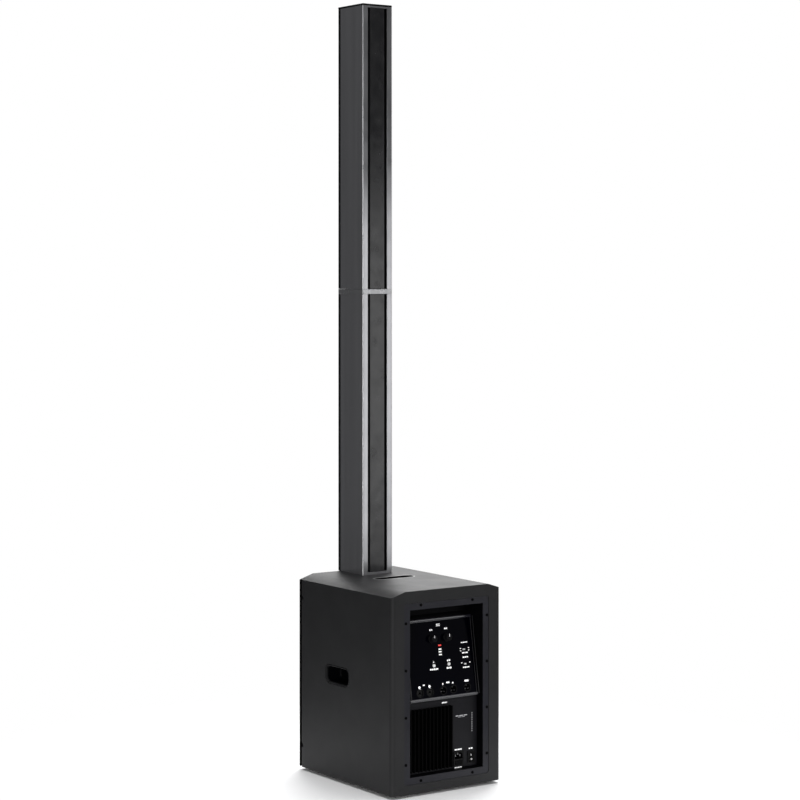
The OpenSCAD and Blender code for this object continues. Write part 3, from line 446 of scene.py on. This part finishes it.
def loft(bm, rings, cap_start=True, cap_end=True):
    """Joins rings of points, each with the same count, into one skin."""
    rows = [[bm.verts.new(point) for point in ring] for ring in rings]
    count = len(rows[0])
    for row, after in zip(rows, rows[1:]):
        for i in range(count):
            j = (i + 1) % count
            bm.faces.new((row[i], row[j], after[j], after[i]))
    if cap_start:
        bm.faces.new(list(reversed(rows[0])))
    if cap_end:
        bm.faces.new(rows[-1])


def lathe_rings(profile, segments, radius_at=None):
    """Rings for a profile of (radius, height) turned about +Z."""
    rings = []
    for radius, height in profile:
        ring = []
        for i in range(segments):
            angle = math.tau * i / segments
            reach = radius_at(radius, height, angle) if radius_at else radius
            ring.append((reach * math.cos(angle), reach * math.sin(angle), height))
        rings.append(ring)
    return rings


def arc(centre, radius, start, end, steps):
    """Points on an arc, with angles in degrees."""
    points = []
    for i in range(steps + 1):
        angle = math.radians(start + (end - start) * i / steps)
        points.append((centre[0] + radius * math.cos(angle), centre[1] + radius * math.sin(angle)))
    return points


def move_mesh(piece, matrix):
    piece.data.transform(matrix)
    piece.data.update()


# ---------- places taken from the frame ----------

def joint_named(name):
    return next(joint for joint in frame["record"]["behaviour"]["joints"] if joint["name"] == name)


KNOB_JOINT = joint_named("left_knob_turn")
PANEL_OUT = Vector(KNOB_JOINT["axis"])
PANEL_RIGHT = Vector((-1, 0, 0))
PANEL_UP = PANEL_OUT.cross(PANEL_RIGHT)
KNOB_X, KNOB_Y = 23, 147
PANEL_ORIGIN = Vector(KNOB_JOINT["pos_m"]) + PANEL_RIGHT * KNOB_X * MM - PANEL_UP * KNOB_Y * MM


def frame_matrix(origin, right, up, out):
    columns = Matrix((right, up, out)).transposed().to_4x4()
    return Matrix.Translation(origin) @ columns


PANEL_FRAME = frame_matrix(PANEL_ORIGIN, PANEL_RIGHT, PANEL_UP, PANEL_OUT)
PLATE_FACE_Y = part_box("amp_plate")[1].y
UP, REARWARD = Vector((0, 0, 1)), Vector((0, 1, 0))
PLATE_FRAME = frame_matrix(Vector((0, PLATE_FACE_Y, 0)), PANEL_RIGHT, UP, REARWARD)


# ---------- perforated grilles ----------

def honeycomb(bm, centres, pitch, hole, front, back, to_world):
    """A sheet of hexagonal cells, each with a hexagonal hole, with both faces and the hole walls."""
    outer = pitch / math.sqrt(3)
    inner = hole / math.sqrt(3)
    corners = [math.radians(30 + 60 * i) for i in range(6)]
    found = {}

    def vertex(x, z, depth):
        key = (round(x * 1e6), round(z * 1e6), depth)
        if key not in found:
            found[key] = bm.verts.new(to_world(x, z, depth))
        return found[key]

    for cx, cz in centres:
        outer_front, outer_back, inner_front, inner_back = [
            [vertex(cx + radius * math.cos(a), cz + radius * math.sin(a), depth) for a in corners]
            for radius in (outer, inner) for depth in (front, back)
        ]
        for i in range(6):
            j = (i + 1) % 6
            bm.faces.new((outer_front[i], outer_front[j], inner_front[j], inner_front[i]))
            bm.faces.new((outer_back[j], outer_back[i], inner_back[i], inner_back[j]))
            bm.faces.new((inner_front[i], inner_front[j], inner_back[j], inner_back[i]))


def hex_centres(low, high, pitch, inside):
    """Centres of hexagonal cells in a rectangle, kept where inside(x, z) is true."""
    step = pitch * math.sqrt(3) / 2
    centres = []
    rows = int((high[1] - low[1]) / step) + 1
    columns = int((high[0] - low[0]) / pitch) + 1
    margin_z = ((high[1] - low[1]) - (rows - 1) * step) / 2
    for row in range(rows):
        shift = pitch / 2 if row % 2 else 0
        for column in range(columns):
            x = low[0] + shift + column * pitch
            z = low[1] + margin_z + row * step
            if x <= high[0] and inside(x, z):
                centres.append((x, z))
    return centres


def outline_ring(bm, outer, inner, stations, to_world):
    """A closed frame between two outlines: stations give (share, depth) round its section."""
    rows = []
    for share, depth in stations:
        row = []
        for (ox, oz), (ix, iz) in zip(outer, inner):
            row.append(bm.verts.new(to_world(ox + (ix - ox) * share, oz + (iz - oz) * share, depth)))
        rows.append(row)
    count = len(outer)
    for k in range(len(rows)):
        row, after = rows[k], rows[(k + 1) % len(rows)]
        for i in range(count):
            j = (i + 1) % count
            bm.faces.new((row[i], row[j], after[j], after[i]))


def cabinet_grille():
    """The steel front grille: a honeycomb sheet in a rolled frame, shaped as the cabinet's front."""
    low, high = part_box("front_grille")
    front_y = low.y
    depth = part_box("cabinet_shell")[0].y - front_y - 0.0001
    half = high.x
    drop = 0.0126
    shoulder = 0.040
    border = 0.009
    lap = 0.002
    pitch, hole = 0.0062, 0.0046

    def outline(inset):
        x = half - inset
        flat = half - shoulder - inset * 0.2
        return [
            (-x, low.z + inset), (0, low.z + inset), (x, low.z + inset),
            (x, high.z - drop - inset * 0.8), (flat, high.z - inset),
            (0, high.z - inset), (-flat, high.z - inset), (-x, high.z - drop - inset * 0.8),
        ]

    def to_world(x, z, y):
        return (x, front_y + y, z)

    limit = half - border + lap
    slope = drop / shoulder

    def inside(x, z):
        top = high.z - border + lap
        sloped = high.z - drop - border + (half - abs(x)) * slope
        return z < min(top, sloped)

    bm = bmesh.new()
    cells = hex_centres((-limit, low.z + border - lap / 2), (limit, high.z - border), pitch, inside)
    honeycomb(bm, cells, pitch, hole, 0.0006, 0.0017, to_world)
    roll = 0.0012
    stations = [
        (0.0, depth), (0.0, roll), (0.04, roll * 0.3), (0.14, 0.0), (0.86, 0.0), (0.96, roll * 0.25),
        (1.0, 0.0019), (0.3, 0.0022), (0.16, depth),
    ]
    outline_ring(bm, outline(0), outline(border), stations, to_world)
    piece = finish_mesh("front_grille_mesh", bm, SLOT_LOOKS["grille_steel"], 30)
    stand_for(piece, "front_grille")


def column_grille(node):
    """A folded grille of the column: honeycomb front, solid folded sides."""
    low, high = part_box(node)
    depth = high.y - low.y
    half = high.x
    border = 0.005
    fold = 0.003
    pitch, hole = 0.0044, 0.0033

    def to_world(x, z, y):
        return (x, low.y + y, z)

    bm = bmesh.new()
    corner, opposite = (-half + border, low.z + border), (half - border, high.z - border)
    cells = hex_centres(corner, opposite, pitch, lambda x, z: True)
    honeycomb(bm, cells, pitch, hole, 0.0005, 0.0014, to_world)

    def outline(inset):
        x = half - inset
        return [(-x, low.z + inset), (x, low.z + inset), (x, high.z - inset), (-x, high.z - inset)]

    stations = [(0.0, depth), (0.0, fold)]
    for angle in (math.radians(30), math.radians(60), math.radians(90)):
        stations.append((0.5 * (1 - math.cos(angle)), fold * (1 - math.sin(angle))))
    stations += [(0.95, 0.0), (1.0, 0.0016), (0.55, 0.0018), (0.24, 0.004), (0.24, depth)]
    outline_ring(bm, outline(0), outline(border + 0.001), stations, to_world)
    piece = finish_mesh(node + "_mesh", bm, SLOT_LOOKS["grille_steel"], 30)
    stand_for(piece, node)


# ---------- handles ----------

def cup(name, width, height, radius, profile, matrix, material):
    """A moulded cup: the profile gives (inset, height) from its back, round its lip, to its floor."""
    bm = bmesh.new()
    rings = []
    for inset, level in profile:
        points = rounded_rectangle(width - 2 * inset, height - 2 * inset, radius - inset, 8)
        rings.append([(x, y, level) for x, y in points])
    loft(bm, rings)
    piece = finish_mesh(name, bm, material, 50)
    move_mesh(piece, matrix)
    return piece


def side_handle(side):
    low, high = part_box("side_handles")
    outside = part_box("cabinet_shell")[1].x
    centre = Vector((side * outside, (low.y + high.y) / 2, (low.z + high.z) / 2))
    width, height = high.y - low.y, high.z - low.z
    depth = 0.048
    matrix = frame_matrix(centre, Vector((0, side, 0)), UP, Vector((side, 0, 0)))
    lip = arc((0.0024, -0.0026), 0.0022, 180, 20, 6)
    profile = [(0.0002, -depth), (0.0002, -0.0026)] + lip[1:]
    profile += [(0.0050, -0.006), (0.0056, -depth + 0.010)]
    profile += [(0.0068, -depth + 0.006), (0.0095, -depth + 0.0035), (0.0130, -depth + 0.003)]
    name = "side_handle_" + ("left" if side > 0 else "right")
    piece = cup(name, width, height, 0.018, profile, matrix, SLOT_LOOKS["moulded_black"])
    stand_for(piece, "side_handles")
    # The hollow deeper than 12 mm inside the wall gets painted shade.
    accent(piece, RECESS_SHADE_LOOK, lambda centre, normal: abs(centre.x) < outside - 0.012)


def top_handle():
    low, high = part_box("top_handle")
    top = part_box("cabinet_shell")[1].z
    centre = Vector(((low.x + high.x) / 2, (low.y + high.y) / 2, top))
    width, height = high.x - low.x, high.y - low.y
    rise = (high.z - top) * 0.4
    depth = top - low.z
    bezel = 0.0035
    profile = [(bezel + 0.0002, -depth), (bezel + 0.0002, -0.0001), (0.0, -0.0001)]
    profile += [(0.0, rise * 0.35), (0.0004, rise * 0.75), (0.0012, rise), (0.0030, rise)]
    profile += [(0.0037, rise * 0.7), (0.0042, -0.0002), (0.0046, -0.004), (0.0072, -depth + 0.009)]
    profile += [(0.0084, -depth + 0.005), (0.0110, -depth + 0.003)]
    radius = height / 2 - 0.0002
    matrix = Matrix.Translation(centre)
    piece = cup("top_handle_cup", width, height, radius, profile, matrix, SLOT_LOOKS["moulded_black"])
    stand_for(piece, "top_handle")
    # The hollow below the top face gets painted shade.
    accent(piece, GROOVE_SHADE_LOOK, lambda centre, normal: centre.z < top)
    # The rim above the top face gets a painted highlight.
    accent(piece, RIM_HIGHLIGHT_LOOK, lambda centre, normal: centre.z > top)


# ---------- woofer ----------

def corrugated_spider():
    """The woofer's centring ring: corrugated cloth whose neck dips to leave room for the cone's stroke."""
    low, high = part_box("woofer_spider")
    rim = high.x
    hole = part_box("woofer_voice_coil")[1].x + 0.0008
    steps = 72
    folds = 6
    fold_height = 0.0005
    neck = 0.83
    dip = 0.0055
    half_cloth = 0.00025
    front = []
    back = []
    for i in range(steps + 1):
        part = i / steps
        radius = rim + (hole - rim) * part
        wave = fold_height * math.sin(math.tau * folds * part / neck) if part < neck else 0.0
        height = 0.0006 + wave - dip * max(0.0, (part - neck) / (1 - neck))
        front.append((radius, height + half_cloth))
        back.append((radius, height - half_cloth))
    rings = lathe_rings(front + list(reversed(back)), 96)
    bm = bmesh.new()
    loft(bm, rings + [rings[0]], False, False)
    bmesh.ops.remove_doubles(bm, verts=bm.verts, dist=0.000002)
    piece = finish_mesh("woofer_spider_cloth", bm, SLOT_LOOKS["spider_cloth"], 50)
    centre = Vector((0, high.y, (low.z + high.z) / 2))
    move_mesh(piece, frame_matrix(centre, -PANEL_RIGHT, UP, -REARWARD))
    stand_for(piece, "woofer_spider")


# ---------- controls ----------

def level_knob(side):
    """A ribbed knob with a rounded rim and a white pointer."""
    node = "level_knob_" + side
    joint = joint_named(side + "_knob_turn")
    radius = 0.0105
    top = 0.015
    ribs = 30

    def ribbed(r, height, angle):
        grip = 0.0035 < height < top - 0.0022
        return r - (0.00045 * (0.5 + 0.5 * math.cos(ribs * angle)) if grip else 0.0)

    profile = [(radius - 0.0008, 0.0008), (radius, 0.0012), (radius, 0.0026)]
    profile += [(radius - 0.0004, 0.0032), (radius - 0.0010, 0.0036), (radius - 0.0013, 0.0075)]
    profile += [(radius - 0.0016, top - 0.0023), (radius - 0.0017, top - 0.0018)]
    profile += [(radius - 0.0021, top - 0.0008), (radius - 0.0030, top - 0.0002)]
    profile += [(radius - 0.0045, top - 0.0001), (radius - 0.0050, top - 0.0005)]
    profile += [(0.0010, top - 0.0006)]
    bm = bmesh.new()
    loft(bm, lathe_rings(profile, ribs * 8, ribbed))
    shaft = [(0.003, -0.0095), (0.003, 0.0009)]
    loft(bm, lathe_rings(shaft, 24))
    piece = finish_mesh(node + "_ribbed", bm, SLOT_LOOKS["knob_plastic"], 50)
    matrix = frame_matrix(Vector(joint["pos_m"]), PANEL_RIGHT, PANEL_UP, PANEL_OUT)
    move_mesh(piece, matrix)
    stand_for(piece, node)

    bm = bmesh.new()
    line = rounded_rectangle(0.0011, 0.0068, 0.0005, 3)
    off_centre = 0.0045
    loft(bm, [[(x, y + off_centre, top - down) for x, y in line] for down in (0.0007, 0.0001)])
    # The pointer's white print has a painted glow.
    pointer = finish_mesh(node + "_pointer", bm, WHITE_INK_WITH_PAINTED_GLOW)
    move_mesh(pointer, matrix)
    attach(pointer, NODE_BODY[node])


DASHES = random.Random(7)
INK_LOW, INK_HIGH = 0.02, 0.08


class Marks:
    """Thin printed marks on a flat face, in millimetres, joined into one piece."""

    def __init__(self, name, matrix, material, slot):
        self.name, self.matrix, self.material, self.slot = name, matrix, material, slot
        self.bm = bmesh.new()

    def shape(self, points):
        loft(self.bm, [[(x * MM, y * MM, z * MM) for x, y in points] for z in (INK_LOW, INK_HIGH)])

    def bar(self, x, y, width, height, round_share=0.35):
        radius = min(width, height) * round_share
        points = rounded_rectangle(width, height, radius, 3)
        self.shape([(x + px, y + py) for px, py in points])

    def dot(self, x, y, radius):
        angles = [math.tau * i / 24 for i in range(24)]
        self.shape([(x + radius * math.cos(a), y + radius * math.sin(a)) for a in angles])

    def triangle(self, x, y, size):
        self.shape([(x - size / 2, y - size * 0.4), (x + size / 2, y - size * 0.4), (x, y + size * 0.5)])

    def label(self, x, y, width, height, dashes):
        """A stand-in for a word: short dashes of seeded lengths in one row."""
        lengths = [1 + DASHES.random() for _ in range(dashes)]
        spare = width * 0.12
        unit = (width - spare) / sum(lengths)
        step = spare / max(dashes - 1, 1)
        start = x - width / 2
        for length in lengths:
            self.bar(start + length * unit / 2, y, length * unit, height, 0.3)
            start += length * unit + step

    def done(self):
        piece = finish_mesh(self.name, self.bm, self.material)
        move_mesh(piece, self.matrix)
        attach(piece, "cabinet")


def panel_marks():
    """The control panel's print, with plain dashes where the real one has words."""
    # White print with a painted glow.
    marks = Marks("panel_print", PANEL_FRAME, WHITE_INK_WITH_PAINTED_GLOW, "gloss_panel")
    slider_x = 76
    for x in (-KNOB_X, KNOB_X):
        marks.label(x, 169, 9, 4.0, 2)
    marks.label(0, 181.5, 11, 2.6, 3)
    marks.label(0, 177.8, 11, 2.2, 3)
    marks.triangle(-KNOB_X, 90, 4.4)
    marks.label(-KNOB_X, 71.7, 25, 4.0, 4)
    marks.bar(20.2, 89.3, 3.2, 4.4)
    marks.bar(26.0, 89.8, 5.0, 4.4)
    marks.label(KNOB_X, 71, 15, 4.2, 2)
    marks.label(slider_x, 129.5, 20, 2.6, 4)
    marks.label(slider_x, 103.5, 18, 3.4, 3)
    marks.label(slider_x, 92.5, 17, 3.4, 3)
    marks.label(slider_x, 67.5, 20, 3.2, 4)
    for x in (slider_x - 12.6, slider_x + 12.6):
        for y in (115, 109, 79):
            marks.bar(x, y, 4.0, 2.0)
    for x in (-72.5, -42):
        marks.dot(x, 31.5, 3.4)
    marks.bar(-59, 36.2, 6.5, 3.0)
    marks.bar(-1, 33.2, 3.6, 4.0)
    marks.bar(15, 35.6, 10, 4.0)
    marks.bar(30, 33.2, 4.4, 4.0)
    marks.bar(73, 34, 13, 4.6)
    marks.done()


def plate_marks():
    """The amplifier plate's print, again with plain shapes in place of words."""
    inlet_x = 49
    # White print with a painted glow.
    marks = Marks("plate_print", PLATE_FRAME, WHITE_INK_WITH_PAINTED_GLOW, "amp_plate_paint")
    marks.label(6, 218, 16, 3.4, 4)
    marks.label(inlet_x, 95.5, 22, 3.4, 4)
    marks.label(88, 94, 12, 3.2, 2)
    marks.label(inlet_x, 50, 22, 4.0, 4)
    marks.done()
    faint = Marks("plate_faint_print", PLATE_FRAME, GREY_INK, "amp_plate_paint")
    faint.label(59, 180, 36, 2.2, 3)
    faint.label(59, 176.6, 20, 1.2, 2)
    for i in range(9):
        faint.bar(92, 138 + i * 5.6, 1.6, 3.4, 0.2)
    faint.done()


def meter_lenses():
    """Four small lenses; the top one glows red."""
    red = glowing("lens_red", (0.75, 0.02, 0.012), 0.6)
    white = glowing("lens_white", (0.85, 0.85, 0.82), 0.4)
    lenses = [
        ("red", 129, red), ("white_upper", 119.5, white), ("white_middle", 113, white),
        ("white_lower", 106, white),
    ]
    width, height, radius = 9.0, 3.4, 0.9
    for name, middle, material in lenses:
        bm = bmesh.new()
        rings = []
        for inset, level in ((0, -8.0), (0, 0.2), (0.25, 0.5), (0.9, 0.6)):
            points = rounded_rectangle(width - 2 * inset, height - 2 * inset, radius * (1 - inset), 3)
            rings.append([(x * MM, (y + middle) * MM, level * MM) for x, y in points])
        loft(bm, rings)
        piece = finish_mesh("meter_lens_" + name, bm, material)
        move_mesh(piece, PANEL_FRAME)
        stand_for(piece, "meter_lights")


def panel_edge_highlight_strips(side):
    """Fine grey strips where the panel meets the recess's side wall: painted highlight lines along the
    panel's edge and the wall's junction.
    """
    width, thickness, panel_height = 1.0, 0.8, 194.0
    section = [(0, 0), (width, 0), (width, thickness), (0, thickness)]
    end = "left" if side > 0 else "right"
    for name, reach, out in (("inner", 101.0, 0.1), ("outer", 103.2, 7.0)):
        bm = bmesh.new()
        loft(bm, [
            [(side * (reach + x) * MM, level * MM, (out + z) * MM) for x, z in section]
            for level in (0.0, panel_height)
        ])
        piece = finish_mesh("panel_seal_%s_%s" % (name, end), bm, EDGE_STRIP_HIGHLIGHT_LOOK)
        move_mesh(piece, PANEL_FRAME)
        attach(piece, "cabinet")


def rocker_marks():
    """The line and the ring on the two slopes of the power rocker, which rests tilted."""
    joint = joint_named("power_rocker_tilt")
    rest_tilt = Matrix.Rotation(math.radians(-8), 4, "X")
    matrix = frame_matrix(Vector(joint["pos_m"]), PANEL_RIGHT, UP, REARWARD) @ rest_tilt
    slope = math.radians(4.24)
    reach = 5.4 * MM
    face = 2.6 * MM
    low, high = 2.66 * MM, 2.74 * MM

    line = bmesh.new()
    points = rounded_rectangle(1.0 * MM, 4.6 * MM, 0.4 * MM, 3)
    loft(line, [[(x, y, z) for x, y in points] for z in (low, high)])

    ring = bmesh.new()
    outer, inner = 2.3 * MM, 1.5 * MM
    rows = lathe_rings([(outer, low), (outer, high), (inner, high), (inner, low)], 24)
    loft(ring, rows + [rows[0]], False, False)
    bmesh.ops.remove_doubles(ring, verts=ring.verts, dist=0.000001)

    for name, bm, y, lean in (("line", line, reach, -slope), ("ring", ring, -reach, slope)):
        # White print with a painted glow.
        piece = finish_mesh("rocker_" + name, bm, WHITE_INK_WITH_PAINTED_GLOW)
        tip = Matrix.Translation((0, y, face)) @ Matrix.Rotation(lean, 4, "X")
        move_mesh(piece, matrix @ tip @ Matrix.Translation((0, 0, -face)))
        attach(piece, "power_rocker")


# ---------- building ----------

REFINED = {
    "cabinet_shell": 0.0012, "rear_tray": 0.0007, "tray_screws": 0.0003, "cabinet_screws": 0.0004,
    "control_panel": 0.0004, "amp_plate": 0.0004, "heat_sink": 0.0005, "rubber_feet": 0.0008,
    "push_button_left": 0.0003, "push_button_right": 0.0003, "slide_switch_upper": 0.0004,
    "slide_switch_lower": 0.0004, "combo_sockets": 0.0003, "output_sockets": 0.0004,
    "latch_left": 0.0003, "latch_right": 0.0003, "mains_inlet": 0.0004, "fuse_drawer": 0.0004,
    "power_rocker": 0.0005, "rocker_housing": 0.0004,
    "lower_shell": 0.0005, "upper_shell": 0.0005, "lower_back_panel": 0.0004,
    "upper_back_panel": 0.0004, "joint_collar": 0.0006, "top_cap": 0.0012,
    "lower_plug": 0.0005, "upper_plug": 0.0005,
}
REPLACED = {
    "front_grille", "lower_grille", "upper_grille", "side_handles", "top_handle",
    "level_knob_left", "level_knob_right", "meter_lights", "woofer_spider",
}
TRAY_FACE_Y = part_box("rear_tray")[1].y
COLUMN_REAR_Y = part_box("lower_shell")[1].y
COLUMN_SIDE_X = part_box("lower_shell")[1].x
LIP_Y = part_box("lower_shell")[0].y + 0.004
RAIL_FACE_DEPTH = 0.0012
GROOVE_DEPTH = 0.0155
GROOVE_HALF_WIDTH = 0.0301
TO_PANEL = PANEL_FRAME.inverted()


# The panel's raised beads, which get a painted highlight.
def on_bead(centre, normal):
    return (TO_PANEL @ centre).z > 0.0001


# Faces inside the tray's recess, which get painted shade.
def in_recess(centre, normal):
    return centre.y < TRAY_FACE_Y - 0.004


def in_groove(centre, normal):
    """Faces that get painted shade: the rear groove between the rails. The lips of the sides at the front
    are darkened as well, beside the grille's black edge.
    """
    deep = COLUMN_REAR_Y - GROOVE_DEPTH < centre.y < COLUMN_REAR_Y - RAIL_FACE_DEPTH
    on_lip = centre.y < LIP_Y and abs(centre.x) > COLUMN_SIDE_X - 0.001
    return on_lip or (deep and abs(centre.x) < GROOVE_HALF_WIDTH)


# The columns' rounded rear corners, which get a painted highlight.
def on_corner(centre, normal):
    return normal.y > 0.25 and abs(normal.x) > 0.25 and abs(centre.x) > COLUMN_SIDE_X - 0.003


# Second finishes: painted highlights on the panel's beads and the columns' rear corners, painted shade in
# the tray's recess and the columns' grooves.
ACCENTS = [
    ("control_panel", BEAD_HIGHLIGHT_LOOK, on_bead),
    ("rear_tray", RECESS_SHADE_LOOK, in_recess),
    ("lower_shell", GROOVE_SHADE_LOOK, in_groove),
    ("upper_shell", GROOVE_SHADE_LOOK, in_groove),
    ("lower_shell", CORNER_HIGHLIGHT_LOOK, on_corner),
    ("upper_shell", CORNER_HIGHLIGHT_LOOK, on_corner),
]


def refine_all():
    made = {}
    for node, width in REFINED.items():
        cut_y = LIP_Y if node in ("lower_shell", "upper_shell") else None
        made[node] = refined(node, width, cut_y)
    for node, look, where in ACCENTS:
        accent(made[node], look, where)


def build():
    for node, piece in frame["nodes"].items():
        if node not in REFINED and node not in REPLACED:
            piece.data.materials.clear()
            piece.data.materials.append(SLOT_LOOKS[NODE_SLOT[node]])
    refine_all()
    cabinet_grille()
    column_grille("lower_grille")
    column_grille("upper_grille")
    for side in (1, -1):
        side_handle(side)
        panel_edge_highlight_strips(side)
    top_handle()
    corrugated_spider()
    level_knob("left")
    level_knob("right")
    meter_lenses()
    panel_marks()
    plate_marks()
    rocker_marks()


add_camera()
add_studio()
build()
